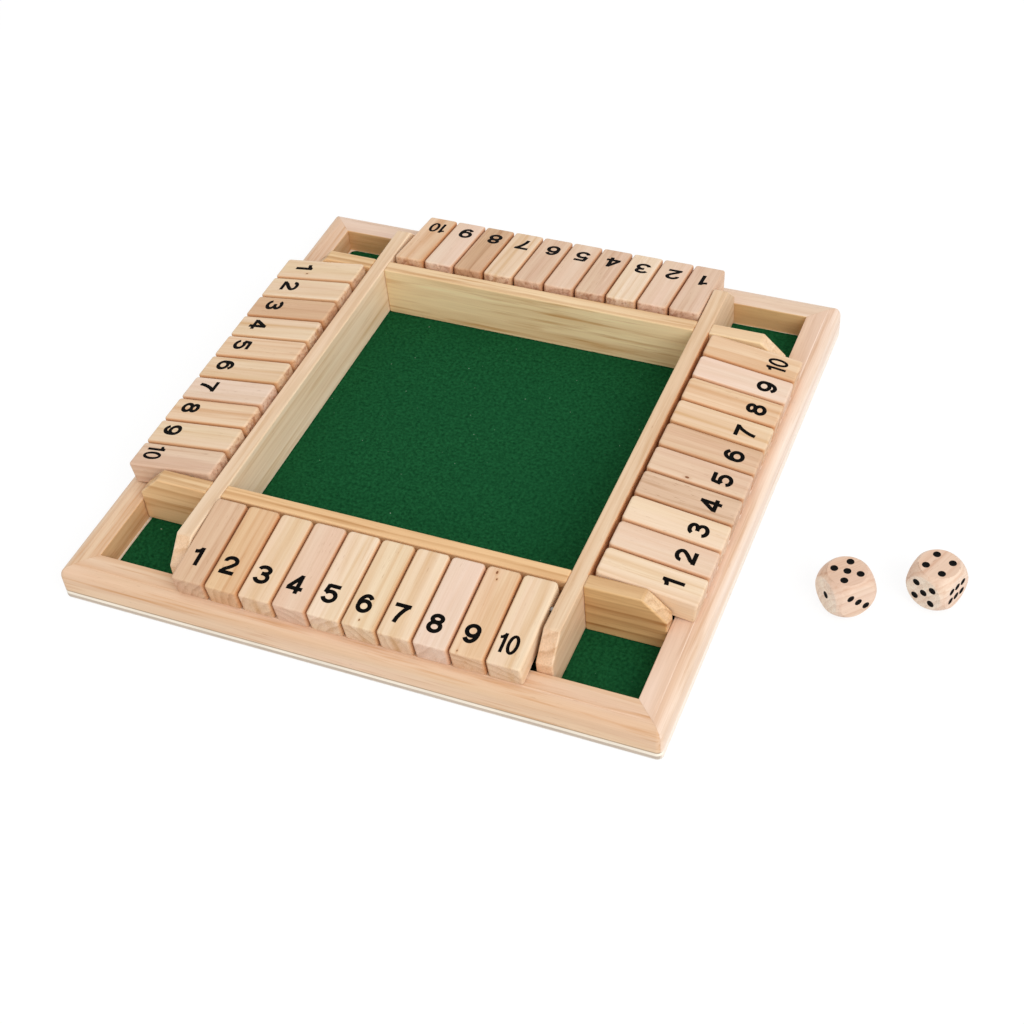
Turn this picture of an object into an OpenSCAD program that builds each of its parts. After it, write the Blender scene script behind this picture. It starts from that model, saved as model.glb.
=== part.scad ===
// Shut the box game for four players: a square board with a felt-lined tray, four rows of
// ten numbered tiles that tip over on steel rods, and two wooden dice lying beside it.
// X runs right along the front edge, Y runs to the back, Z is up, and the origin is the
// middle of the underside of the board. All sizes are in millimetres.

/* [Board] */

// Thickness of the plywood base
base_t = 5; // [3:0.5:9]
// Radius of the board's corners, seen from above
corner_r = 3; // [1:0.5:6]
// Thickness of the felt lining
felt_t = 1.2; // [0.8:0.1:2]
// Gap between the edge of the felt and the frame
felt_edge_gap = 1.2; // [1:0.1:1.8]
// How far the felt was glued off centre, to the right
felt_shift = 0.6; // [0:0.1:0.8]

/* [Frame] */

// Width of each frame moulding
frame_w = 15.3; // [14:0.1:16]
// Height of each frame moulding above the base
frame_h = 13.3; // [11:0.1:14.5]
// Width of the flat band on top of the moulding
band_w = 9.2; // [8:0.1:9.6]
// Depth of the small step beside the flat band
step_h = 0.3; // [0.2:0.1:1]
// Radius of the moulding's rounded outer edge
round_r = 5.6; // [4:0.1:6]

/* [Walls] */

// Thickness of the walls round the tray
wall_t = 8; // [6.5:0.1:12]
// Height of the walls above the felt
wall_h = 28.6; // [27:0.1:31]
// Length of the sloping cut at the end of a wall
slope_run = 11.5; // [9:0.1:13]
// Depth of the sloping cut at the end of a wall
slope_drop = 11.3; // [9:0.1:12]
// Gap between a wall's end and the frame
wall_end_gap = 0.2; // [0.1:0.1:0.8]
// Width of the channel between a wall and the frame, under the tiles
channel_w = 38.9; // [36:0.1:44]

/* [Tiles] */

// Number of tiles in a row
tiles = 10; // [6:1:10]
// Width of a tile
tile_w = 16.3; // [12:0.1:20]
// Length of a tile
tile_l = 48; // [46:0.1:49]
// Thickness of a tile
tile_t = 12; // [10.5:0.1:12.5]
// Radius of the tile's rounded inner end
tile_round = 1.5; // [0.5:0.1:5]
// Width of the chamfer along the tile's top edges
tile_ease = 0.8; // [0.8:0.1:1.4]
// Gap between two tiles
tile_gap = 1; // [0.3:0.05:1.2]
// Gap between a row's first tile and the wall
row_start = 0.6; // [0.4:0.1:1]
// Gap left beyond a row's last tile
row_play = 2; // [1:0.1:4]
// Distance of the rod from the tile's inner end
bore_back = 12; // [10:0.1:12.5]
// Height of the rod above the tile's underside
bore_up = 7.5; // [6:0.1:8]
// Gap left under the tile's outer edge where it rests on the frame
rest_gap = 0.05; // [0.02:0.01:0.3]

/* [Rods] */

// Diameter of the steel rods
rod_d = 3; // [2:0.1:4]
// Radial clearance of a tile on its rod
rod_clear = 0.08; // [0.02:0.01:0.1]
// Distance of the rod from the wall beside the tray
rod_off = 13.9; // [13.6:0.1:15]
// Height of the rod above the felt
rod_up = 24.6; // [24:0.1:25.5]
// How deep each rod end sits in the wood
rod_sink = 5; // [3:0.1:6]

/* [Dice] */

// Size of each die across its flat faces
die_w = 21; // [16:0.1:22]
// Diameter of the ball that rounds each die's corners
die_ball = 27.6; // [27:0.1:29]
// Place of the nearer die to the right of the board's middle
die_a_x = 199.4; // [190:0.1:215]
// Place of the nearer die from the board's middle towards the back
die_a_y = -37.8; // [-60:0.1:-36]
// Turn of the nearer die
die_a_turn = 45.9; // [0:0.1:90]
// Place of the farther die to the right of the board's middle
die_b_x = 236.8; // [232:0.1:260]
// Place of the farther die from the board's middle towards the back
die_b_y = -21; // [-22:0.1:10]
// Turn of the farther die
die_b_turn = 67.4; // [0:0.1:90]

/* [Hidden] */

// Heights
felt_z = base_t;
floor_z = base_t + felt_t;
frame_z = base_t + frame_h;
wall_z = floor_z + wall_h;
rod_z = floor_z + rod_up;

// A row of tiles, with the gaps at its two ends, just fills the tray's width
tile_pitch = tile_w + tile_gap;
tray_w = tiles * tile_pitch - tile_gap + row_start + row_play;

// Half widths, from the board's middle outwards
tray_half = tray_w / 2;
wall_half = tray_half + wall_t;
rod_half = wall_half + rod_off;
open_half = wall_half + channel_w;
wall_end = open_half - wall_end_gap;
board_w = 2 * (open_half + frame_w);

// Tiles: the part of a tile outside the rod, and the tilt at which its outer edge
// comes down onto the frame
tile_out = tile_l - bore_back;
drop = rod_z - frame_z - rest_gap;
tilt = asin(drop / norm([tile_out, bore_up])) - atan2(bore_up, tile_out);

round_fn = 48;
slack = 1;

ROWS = ["front", "right", "back", "left"];

// Upright slab with rounded corners, centred, from z to z + h
module round_slab(w, r, z, h) {
  translate([0, 0, z]) {
    translate([-w / 2 + r, -w / 2, 0]) cube([w - 2 * r, w, h]);
    translate([-w / 2, -w / 2 + r, 0]) cube([w, w - 2 * r, h]);
    for (sx = [-1, 1], sy = [-1, 1])
      translate([sx * (w / 2 - r), sy * (w / 2 - r), 0]) cylinder(r = r, h = h, $fn = round_fn);
  }
}

module base_board() {
  color("burlywood") round_slab(board_w, corner_r, 0, base_t);
}

module felt_lining() {
  color("darkgreen")
    translate([felt_shift, 0, 0])
      round_slab(2 * (open_half - felt_edge_gap), corner_r, felt_z, felt_t);
}

// Cross-section of the moulding: x from the opening outwards, y up from the base
module moulding_profile() {
  square([frame_w, frame_h - step_h - round_r]);
  square([frame_w - round_r, frame_h - step_h]);
  square([band_w, frame_h]);
  translate([frame_w - round_r, frame_h - step_h - round_r]) circle(r = round_r, $fn = round_fn);
}

// The front moulding, cut at 45 degrees at both ends; the others are turned copies
module moulding() {
  intersection() {
    translate([-board_w / 2, -open_half, base_t])
      rotate([0, 0, 180]) mirror([1, 0, 0]) rotate([90, 0, 90])
        linear_extrude(height = board_w) moulding_profile();
    translate([0, 0, base_t - slack]) linear_extrude(height = frame_h + 2 * slack)
      polygon([[0, 0], [-board_w, -board_w], [board_w, -board_w]]);
    round_slab(board_w, corner_r, base_t - slack, frame_h + 2 * slack);
  }
}

module frame_side(i) { color("wheat") rotate([0, 0, 90 * i]) moulding(); }

// Side view of a long wall, sloped at both ends: x along the wall, y up from the felt
module rail_profile(half) {
  polygon([
    [-half, 0], [half, 0], [half, wall_h - slope_drop], [half - slope_run, wall_h],
    [-half + slope_run, wall_h], [-half, wall_h - slope_drop]
  ]);
}

// Blind hole for a rod end, along X, from x inwards by the sunk depth
module rod_hole(x, dir) {
  translate([x, 0, rod_z]) rotate([0, 90 * dir, 0])
    translate([0, 0, -slack]) cylinder(d = rod_d, h = rod_sink + slack, $fn = round_fn);
}

module rail(side) {
  color("goldenrod") difference() {
    translate([side * (tray_half + wall_t / 2) - wall_t / 2, 0, floor_z])
      rotate([90, 0, 90]) linear_extrude(height = wall_t) rail_profile(wall_end);
    for (sy = [-1, 1]) translate([0, sy * rod_half, 0]) rod_hole(side * tray_half, side);
  }
}

module cross_wall(side) {
  color("goldenrod")
    translate([-tray_half, side * (tray_half + wall_t / 2) - wall_t / 2, floor_z])
      cube([tray_w, wall_t, wall_h]);
}

// Short wall outside a long one, sloped at its outer end, with the side rows' rod in it
module stub(sx, sy) {
  len = wall_end - wall_half;
  color("goldenrod") difference() {
    translate([0, sy * (tray_half + wall_t / 2) + wall_t / 2, floor_z])
      mirror([sx < 0 ? 1 : 0, 0, 0]) translate([wall_half, 0, 0])
        rotate([90, 0, 0]) linear_extrude(height = wall_t) polygon([
          [0, 0], [len, 0], [len, wall_h - slope_drop], [len - slope_run, wall_h], [0, wall_h]
        ]);
    rotate([0, 0, 90]) translate([0, -sx * rod_half, 0]) rod_hole(sy * tray_half, sy);
  }
}

// Rod of the front row; the others are turned copies
module rod(i) {
  len = tray_w + 2 * rod_sink;
  color("silver") rotate([0, 0, 90 * i])
    translate([-len / 2, -rod_half, rod_z]) rotate([0, 90, 0])
      cylinder(d = rod_d, h = len, $fn = round_fn);
}

// One tile, lying level with its rod on the X axis: x across it, -y towards its outer end
module tile_blank() {
  up = tile_t - bore_up;
  difference() {
    union() {
      translate([0, -tile_out, -bore_up]) cube([tile_w, tile_l, tile_t - tile_round]);
      translate([0, -tile_out, -bore_up]) cube([tile_w, tile_l - tile_round, tile_t]);
      translate([0, bore_back - tile_round, up - tile_round])
        rotate([0, 90, 0]) cylinder(r = tile_round, h = tile_w, $fn = round_fn);
    }
    translate([-slack, 0, 0]) rotate([0, 90, 0])
      cylinder(d = rod_d + 2 * rod_clear, h = tile_w + 2 * slack, $fn = round_fn);
    for (x = [0, tile_w]) translate([x, -tile_out - slack, up]) rotate([0, 45, 0])
      translate([-tile_ease / sqrt(2), 0, -tile_ease / sqrt(2)])
        cube([tile_ease * sqrt(2), tile_l + 2 * slack, tile_ease * sqrt(2)]);
  }
}

// Tile k of row i: each row is pushed to the end of its rod where its tile 1 is
module tile(i, k) {
  color(k % 2 == 0 ? "bisque" : "navajowhite") rotate([0, 0, 90 * i])
    translate([-tray_half + row_start + k * tile_pitch, -rod_half, rod_z])
      rotate([tilt, 0, 0]) tile_blank();
}

module die(x, y, turn) {
  color("peru") translate([x, y, die_w / 2]) rotate([0, 0, turn])
    intersection() {
      cube(die_w, center = true);
      sphere(d = die_ball, $fn = 2 * round_fn);
    }
}

base_board();
felt_lining();
frame_side(0);  // frame_front
frame_side(1);  // frame_right
frame_side(2);  // frame_back
frame_side(3);  // frame_left
rail(-1);  // rail_left
rail(1);  // rail_right
cross_wall(-1);  // cross_front
cross_wall(1);  // cross_back
stub(-1, -1);  // stub_front_left
stub(1, -1);  // stub_front_right
stub(-1, 1);  // stub_back_left
stub(1, 1);  // stub_back_right
rod(0);  // rod_front
rod(1);  // rod_right
rod(2);  // rod_back
rod(3);  // rod_left
die(die_a_x, die_a_y, die_a_turn);  // die_near
die(die_b_x, die_b_y, die_b_turn);  // die_far
for (i = [0 : 3], k = [0 : tiles - 1])
  tile(i, k);
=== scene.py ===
# %% [markdown]
# # A four-player shut the box game
#
# The real game is a square wooden board about 300 mm wide. A felt-lined tray for throwing the dice
# fills its middle, and along each side ten numbered tiles lie side by side on a thin steel rod. A
# player who throws a six, say, tips tile 6 over towards the tray. This notebook dresses the game's
# measured model for a picture. Every piece is made at its real size, in metres, in the same
# frame as the model: X runs right along the front edge, Y to the back, Z up.

# %% Load the measured model
import math
import random

import bmesh
import bpy
from mathutils import Matrix, Vector


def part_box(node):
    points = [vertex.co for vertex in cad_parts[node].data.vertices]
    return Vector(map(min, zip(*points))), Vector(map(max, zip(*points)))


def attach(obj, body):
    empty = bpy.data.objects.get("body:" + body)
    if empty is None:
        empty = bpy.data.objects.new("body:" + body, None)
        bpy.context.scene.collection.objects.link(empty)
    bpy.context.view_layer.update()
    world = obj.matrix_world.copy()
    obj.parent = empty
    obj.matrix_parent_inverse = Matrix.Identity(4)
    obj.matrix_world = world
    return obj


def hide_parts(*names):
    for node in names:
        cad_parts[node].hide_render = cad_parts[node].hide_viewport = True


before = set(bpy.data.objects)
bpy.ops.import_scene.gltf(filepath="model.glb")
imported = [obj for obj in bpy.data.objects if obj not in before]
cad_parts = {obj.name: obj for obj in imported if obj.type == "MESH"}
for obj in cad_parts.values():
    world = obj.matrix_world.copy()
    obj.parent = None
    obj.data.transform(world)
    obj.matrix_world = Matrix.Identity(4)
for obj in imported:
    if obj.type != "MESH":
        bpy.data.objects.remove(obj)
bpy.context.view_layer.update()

# %% [markdown]
# ## Sizes
#
# Nothing is placed by eye. The measured model says where the board, the walls, the rods and the
# tiles are, so the sizes are read from it. Only what its boxes can't tell is written here: how a
# tile is shaped, and how far its rod is from its inner end.

# %% Read the sizes
MM = 0.001
ROWS = ["front", "right", "back", "left"]

board_low, board_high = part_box("base_board")
felt_low, felt_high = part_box("felt_lining")
frame_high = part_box("frame_front")[1]
rail_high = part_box("rail_right")[1]
cross_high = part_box("cross_front")[1]
rod_low, rod_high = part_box("rod_front")
tile_low, tile_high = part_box("tile_front_1")

BOARD_HALF = board_high.x
FRAME_OPEN = -frame_high.y
FRAME_TOP = frame_high.z
TRAY_HALF = cross_high.x
WALL_HALF = rail_high.x
WALL_TOP = rail_high.z
FELT_TOP = felt_high.z
ROD_OUT = -(rod_low.y + rod_high.y) / 2
ROD_UP = (rod_low.z + rod_high.z) / 2

TILE_START = tile_low.x
TILE_WIDE = tile_high.x - tile_low.x
TILE_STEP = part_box("tile_front_2")[0].x - tile_low.x
TILE_LONG, TILE_THICK = 48 * MM, 12 * MM
ROD_TO_INNER, ROD_TO_UNDER = 12 * MM, 7.5 * MM
TILE_OUT = TILE_LONG - ROD_TO_INNER

# A tile rests with its outer lower edge a hair above the frame, which sets its slope.
REST_GAP = 0.05 * MM
drop = ROD_UP - FRAME_TOP - REST_GAP
SLOPE = math.asin(drop / math.hypot(TILE_OUT, ROD_TO_UNDER)) - math.atan2(ROD_TO_UNDER, TILE_OUT)
print(f"tile {TILE_WIDE / MM:.1f} mm wide, {TILE_STEP / MM:.1f} mm apart")
print(f"tile slope {math.degrees(SLOPE):.2f} degrees")

# %% [markdown]
# ## Colours
#
# Colours are easiest to judge as they look on a screen, from 0 to 255, but a shader wants linear
# light. One small function turns the first into the second, so that the numbers further down can
# be read as the colours of real pine.

# %% Screen colours to linear light
def shade(red, green, blue):
    """A screen colour, 0 to 255 each, as the linear colour that a shader reads."""
    def linear(c):
        c = c / 255
        return c / 12.92 if c <= 0.04045 else ((c + 0.055) / 1.055) ** 2.4
    return (linear(red), linear(green), linear(blue), 1)


print("pale pine:", [round(c, 3) for c in shade(235, 212, 180)])

# %% [markdown]
# ## A short way to wire materials
#
# A material is a set of nodes joined by wires. Wiring by hand takes three lines a node, so this
# little bench makes a node, sets what is plain, wires what comes from another node, and gives the
# node back. A wire is written as the socket that it comes from.

# %% The material bench
class Bench:
    """Makes and joins the nodes of one material. An input called _2 is the third one."""

    def __init__(self, name):
        self.material = bpy.data.materials.new(name)
        self.material.use_nodes = True
        self.tree = self.material.node_tree
        self.shader = self.tree.nodes["Principled BSDF"]

    def node(self, kind, settings=None, **inputs):
        made = self.tree.nodes.new("ShaderNode" + kind)
        for name, value in (settings or {}).items():
            setattr(made, name, value)
        for name, value in inputs.items():
            key = int(name[1:]) if name[0] == "_" else name.replace("_", " ")
            self.join(made.inputs[key], value)
        return made

    def join(self, socket, value):
        if isinstance(value, bpy.types.NodeSocket):
            self.tree.links.new(value, socket)
        else:
            socket.default_value = value

    def point(self):
        """Where the shaded point is, in the object's own metres."""
        return self.node("TexCoord").outputs["Object"]

    def written(self, name, kind="Fac"):
        """A value, or with kind "Vector" a vector, that was written on the mesh."""
        return self.node("Attribute", {"attribute_name": name}).outputs[kind]

    def split(self, vector):
        return self.node("SeparateXYZ", Vector=vector).outputs

    def sum(self, operation, *values):
        """One step of arithmetic."""
        inputs = {f"_{i}": value for i, value in enumerate(values)}
        return self.node("Math", {"operation": operation}, **inputs).outputs[0]

    def plus(self, first, second):
        return self.sum("ADD", first, second)

    def times(self, first, second):
        return self.sum("MULTIPLY", first, second)

    def scaled(self, vector, factors):
        return self.node("VectorMath", {"operation": "MULTIPLY"}, _0=vector, _1=factors).outputs[0]

    def stretch(self, vector, along, across):
        """The vector scaled so that noise runs with the grain: changes a metre along and across."""
        return self.scaled(vector, (along, across, across))

    def noise(self, vector, detail=2.0, rough=0.5):
        made = self.node("TexNoise", Vector=vector, Scale=1.0, Detail=detail, Roughness=rough)
        return made.outputs["Fac"]

    def spread(self, value, low, high, to_low=0.0, to_high=1.0):
        """A value from low to high, spread out to new limits, and held there."""
        limits = {"_1": low, "_2": high, "_3": to_low, "_4": to_high}
        return self.node("MapRange", {"clamp": True}, Value=value, **limits).outputs[0]

    def blend(self, amount, first, second, how="MIX"):
        mixer = self.node("Mix", {"data_type": "RGBA", "blend_type": how})
        for index, value in ((0, amount), (6, first), (7, second)):
            self.join(mixer.inputs[index], value)
        return mixer.outputs[2]

    def tinted(self, colour, red, green, blue):
        """The colour with its three parts multiplied."""
        factors = self.node("CombineColor", Red=red, Green=green, Blue=blue).outputs[0]
        return self.blend(1.0, colour, factors, "MULTIPLY")

    def finish(self, colour, height=None, depth=0.0, **plain):
        """Wires colour, relief and the rest into the shader, and hands the material over."""
        self.join(self.shader.inputs["Base Color"], colour)
        for name, value in plain.items():
            self.join(self.shader.inputs[name.replace("_", " ")], value)
        if height is not None:
            bump = self.node("Bump", Height=height, Strength=1.0, Distance=depth)
            self.join(self.shader.inputs["Normal"], bump.outputs[0])
        return self.material


print("the bench is ready")

# %% [markdown]
# ## Pine
#
# Pine shows its growth rings as stripes: pale wood that grew in spring, darkening to a thin
# line of orange summer wood, and then a sudden step back to pale. A picture of wood glued on would
# not agree from face to face. Here the wood is solid: each piece carries its own place in
# the log as an attribute called timber, with X along the grain, and the ring pattern is the
# distance from the log's heart. So a stripe on top runs on down the end as an arc, as it does in a
# real sawn piece. More attributes say what else is special about a piece or a face of it:
#
# * end_grain, because the ends drink more lacquer and look darker and pinker. It is above zero
#   at the end towards X on the bench, and below zero at the other. On tiles, only the first,
#   which lies by the tray, has reddish blotches. On the dice the ends are made paler instead,
#   as painted light. The sloped ends of the two right stubs are paler too: partly their own
#   colour, partly painted light from the right.
# * facing, above zero on the flank towards Y on the bench and below zero on the other. It
#   carries painted light and shade: a flank may be tinted paler where light falls on it, and
#   darker and oranger where it stands in shade, as in the narrow gaps between tiles.
# * toast, for a stick that is a little browner or paler than its tone.
# * stripe and knot, for one broad stripe and up to three knots.

# %% How pine is made
PLAIN = (1, 1, 1)
# Painted shade: the tiles' flanks are tinted darker and oranger, for the shade in the narrow gaps.
GAP_SHADE = (0.84, 0.64, 0.48)
FLECK, SUMMER_END, BLOTCH, KNOT = (shade(150, 100, 62), shade(164, 116, 84), shade(156, 98, 68),
                                   shade(136, 84, 48))
TOASTED = (0.07, 0.14, 0.24)


def pine(name, pale, blush, dark, ring=5.2, rings=0.5, veins=0.35, fleck=0.5, rough=0.5,
         inward_painted_light=PLAIN, outward_painted_light=PLAIN, end_tint_and_light=(0.93, 0.86, 0.83), blotches=0.0):
    """Pine with rings this many mm apart. Its three colours run from spring to summer wood."""
    b = Bench(name)
    timber = b.written("timber", "Vector")
    which_end = b.written("end_grain")
    end = b.sum("ABSOLUTE", which_end)
    facing = b.written("facing")
    place = b.split(timber)
    stripe = b.split(b.written("stripe", "Vector"))

    # How far a point is from the nearest knot, in knot widths: knots are drawn out along the grain.
    from_knot = 99.0
    for knot in (b.split(b.written(n, "Vector")) for n in ("knot", "knot_2", "knot_3")):
        along = b.sum("DIVIDE", b.sum("SUBTRACT", place[0], knot[0]), 1.6)
        across = b.sum("SUBTRACT", place[1], knot[1])
        away = b.sum("SQRT", b.plus(b.times(along, along), b.times(across, across)))
        widths = b.sum("DIVIDE", away, b.sum("MAXIMUM", knot[2], 0.01 * MM))
        from_knot = b.sum("MINIMUM", from_knot, widths)
    near_knot = b.spread(from_knot, 0.6, 4.0, 1.0, 0.0)

    # Rings: the distance from the heart of the log, with the slow wander of a real tree.
    wander = b.times(b.sum("SUBTRACT", b.noise(b.stretch(timber, 11, 110), 3), 0.5), 4.5 * MM)
    heart = b.sum("SQRT", b.plus(b.times(place[1], place[1]), b.times(place[2], place[2])))
    heart = b.plus(b.plus(heart, wander), b.times(near_knot, 1.3 * MM))
    turns = b.sum("DIVIDE", heart, ring * MM)
    through = b.sum("FRACT", turns)
    lot = b.node("TexWhiteNoise", {"noise_dimensions": "1D"}, W=b.sum("FLOOR", turns))
    year = lot.outputs["Value"]
    rise = b.sum("POWER", through, 2.0)
    fall = b.spread(through, 0.84, 1.0, 1.0, 0.0)
    summer = b.times(b.times(rise, fall), b.spread(year, 0, 1, 0.1, 1.0))

    # Clouds of colour, veins and fine streaks, all drawn out along the grain.
    elsewhere = b.node("VectorMath", {"operation": "ADD"}, _0=timber, _1=(3, 5, 7)).outputs[0]
    pinker = b.spread(b.noise(b.stretch(elsewhere, 7, 75), 2), 0.35, 0.65)
    cloud = b.spread(b.noise(b.stretch(timber, 9, 130), 3), 0.36, 0.64)
    vein = b.spread(b.noise(b.stretch(timber, 16, 420), 3, 0.6), 0.52, 0.72)
    streak = b.noise(b.stretch(timber, 30, 1500), 3, 0.6)
    amount = b.plus(b.times(summer, rings), b.times(cloud, 0.28))
    amount = b.plus(amount, b.times(vein, veins))

    # The broad stripe: its middle, its half width and its strength.
    beside = b.sum("SUBTRACT", place[1], b.plus(stripe[0], b.times(wander, 0.5)))
    beside = b.sum("DIVIDE", b.sum("ABSOLUTE", beside), b.sum("MAXIMUM", stripe[1], 0.1 * MM))
    striped = b.times(b.spread(beside, 0.3, 1.3, 1.0, 0.0), stripe[2])
    amount = b.spread(b.plus(amount, striped), 0, 1)
    colour = b.blend(pinker, shade(*pale), shade(*blush))
    colour = b.blend(amount, colour, shade(*dark))
    colour = b.tinted(colour, *(b.spread(streak, 0.25, 0.75, low, high)
                                for low, high in ((0.945, 1.04), (0.93, 1.05), (0.91, 1.06))))

    # Some sticks are a little browner or paler than their tone.
    toast = b.written("toast")
    colour = b.tinted(colour, *(b.spread(toast, -1.5, 1.5, 1 + 1.5 * loss, 1 - 1.5 * loss)
                                for loss in TOASTED))

    # Painted light and shade on the two flanks: each is tinted paler or darker for how light falls.
    for side, tint in ((1.0, inward_painted_light), (-1.0, outward_painted_light)):
        if tint != PLAIN:
            turned = b.sum("MAXIMUM", b.times(facing, side), 0.0)
            colour = b.blend(turned, colour, b.blend(1.0, colour, (*tint, 1), "MULTIPLY"))

    # Short brown flecks, here and there.
    dash = b.spread(b.noise(b.stretch(timber, 200, 2600), 1), 0.68, 0.76)
    patch = b.spread(b.noise(b.stretch(timber, 28, 120), 1), 0.5, 0.62)
    colour = b.blend(b.times(b.times(dash, patch), fleck), colour, FLECK)

    # The knot itself, with a darker rim.
    colour = b.blend(b.spread(from_knot, 0.7, 2.6, 0.5, 0.0), colour, shade(*dark))
    colour = b.blend(b.spread(from_knot, 0.75, 1.05, 1.0, 0.0), colour, KNOT)

    # The end grain, with pores. Its rings show less where the ends are pale.
    pores = b.spread(b.noise(b.stretch(timber, 1500, 1500), 2), 0.35, 0.65, 0.9, 1.04)
    blotch = b.spread(b.noise(b.stretch(timber, 420, 420), 2), 0.5, 0.66, 0.0, blotches)
    blotch = b.times(blotch, b.sum("MAXIMUM", which_end, 0.0))
    arcs = b.times(summer, 0.4 if end_tint_and_light[0] < 1 else 0.12)
    sawn_end = b.blend(1.0, colour, (*end_tint_and_light, 1), "MULTIPLY")
    sawn_end = b.blend(arcs, sawn_end, SUMMER_END)
    sawn_end = b.blend(blotch, sawn_end, BLOTCH)
    sawn_end = b.tinted(sawn_end, pores, pores, pores)
    colour = b.blend(end, colour, sawn_end)

    height = b.plus(b.times(streak, 0.5), b.times(summer, 0.35))
    gloss = b.spread(streak, 0.2, 0.8, rough + 0.07, rough - 0.06)
    return b.finish(colour, height, 0.05 * MM, Roughness=gloss, Specular_IOR_Level=0.3)


def both(tint):
    """The same painted light or shade, as one tint, for the two flanks."""
    return {"inward_painted_light": tint, "outward_painted_light": tint}


print("pine: one recipe")

# %% Five tones for the tiles
# Tile flanks get painted gap shade, and the ends by the tray their blotches.
TILE_GAP_SHADE_AND_BLOTCHES = {**both(GAP_SHADE), "blotches": 0.6}
TONES = {
    "cream": pine("pine_cream", (240, 217, 184), (240, 212, 184), (214, 172, 124),
                  ring=4.2, **TILE_GAP_SHADE_AND_BLOTCHES),
    "pale": pine("pine_pale", (238, 214, 192), (240, 210, 190), (216, 176, 142),
                 ring=4.4, rings=0.35, veins=0.2, **TILE_GAP_SHADE_AND_BLOTCHES),
    "pink": pine("pine_pink", (231, 202, 172), (230, 196, 170), (198, 152, 118),
                 ring=3.2, **TILE_GAP_SHADE_AND_BLOTCHES),
    "tan": pine("pine_tan", (237, 206, 170), (235, 200, 167), (208, 156, 108),
                ring=3.8, rings=0.6, **TILE_GAP_SHADE_AND_BLOTCHES),
    "brown": pine("pine_brown", (226, 194, 160), (224, 188, 158), (180, 134, 96),
                  ring=2.3, rings=0.6, veins=0.6, fleck=0.9, **TILE_GAP_SHADE_AND_BLOTCHES),
}
print("tones:", ", ".join(TONES))

# %% Pine for the frame, the walls and the dice
FRAME_WOOD = {"ring": 6, "fleck": 0.3, "rough": 0.46}
# Flank tints: painted shade on the inner faces by the pockets, painted light on outer sides.
FRAME_PINES = {
    "front": pine("pine_frame", (234, 203, 170), (236, 204, 177), (204, 148, 98),
                  veins=0.65, inward_painted_light=(1.02, 0.93, 0.76), **FRAME_WOOD),
    "right": pine("pine_frame_right", (240, 210, 188), (230, 193, 162), (200, 152, 112),
                  rings=0.35, veins=0.5, outward_painted_light=(1.12, 1.30, 1.50), **FRAME_WOOD),
    "back": pine("pine_frame_back", (236, 210, 186), (238, 209, 190), (204, 164, 130), rings=0.35,
                 veins=0.5, inward_painted_light=(0.98, 0.83, 0.52), outward_painted_light=(1.06, 1.13, 1.16), **FRAME_WOOD),
}
FRAME_PINES["left"] = FRAME_PINES["front"]
# Flank tints on the walls are painted light: most make the flanks paler, as where light falls.
wall_pine = pine("pine_wall", (238, 206, 160), (236, 200, 154), (184, 130, 74), rings=1.0,
                 veins=0.4, fleck=0.35, end_tint_and_light=(0.98, 0.94, 0.9), **both((1.13, 1.09, 1.04)))
WALL_PINES = {
    "cross_back": pine("pine_wall_back", (242, 214, 172), (239, 206, 164), (192, 137, 80),
                       rings=0.8, veins=0.6, fleck=0.35, **both((1.17, 1.24, 1.22))),
    "cross_front": pine("pine_wall_warm", (244, 206, 156), (240, 198, 148), (186, 128, 68),
                        rings=0.8, veins=0.4, fleck=0.35),
    # Darker flanks: painted shade. Pale sloped end: partly own colour, partly painted light.
    "stub_front_right": pine("pine_stub_gold", (240, 204, 154), (236, 196, 146), (166, 108, 56),
                             ring=5.0, rings=0.95, veins=0.4, fleck=0.35,
                             end_tint_and_light=(1.06, 1.12, 1.3), **both((0.93, 0.88, 0.76))),
    "rail_left": pine("pine_rail", (238, 212, 182), (238, 208, 178), (206, 164, 118),
                      rings=0.6, veins=0.4, fleck=0.3,
                      end_tint_and_light=(1.08, 1.04, 1.0), **both((1.15, 1.23, 1.28))),
    # Its flank towards the tiles is painted shade, darker and oranger, for the shade in that gap.
    "rail_right": pine("pine_rail_right", (238, 210, 178), (238, 206, 174), (204, 160, 114),
                       ring=4.6, rings=0.7, veins=0.4, fleck=0.3, end_tint_and_light=(0.99, 0.92, 0.88),
                       inward_painted_light=(1.04, 1.05, 0.98), outward_painted_light=(0.98, 0.70, 0.50)),
    # Paler flanks: painted light. Pale sloped end: partly own colour, partly painted light.
    "stub_back_right": pine("pine_stub_pale", (241, 212, 174), (240, 205, 164), (208, 158, 108),
                            rings=0.6, veins=0.4, fleck=0.3,
                            end_tint_and_light=(1.05, 1.08, 1.15), **both((1.1, 1.15, 1.1))),
}
# The dice's paler ends and flanks are painted light, for light thrown up from the white floor.
beech = pine("beech", (236, 208, 184), (232, 200, 178), (202, 156, 126), ring=3.0, rings=0.6,
             fleck=0.6, rough=0.42, end_tint_and_light=(1.16, 1.36, 1.48), **both((1.04, 1.1, 1.14)))
print("pine for the frame:", len(FRAME_PINES), "and for single walls:", len(WALL_PINES))

# %% [markdown]
# ## Plywood, felt, steel and black paint
#
# The base is plywood, and its edge shows thin layers, so its colour goes by height. Felt is a mat
# of short fibres: it is matt, mottled at about a millimetre, and it catches bits of white lint.
# Drawn steel has fine lines along the wire. The numbers and the dice's spots are black paint.

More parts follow.
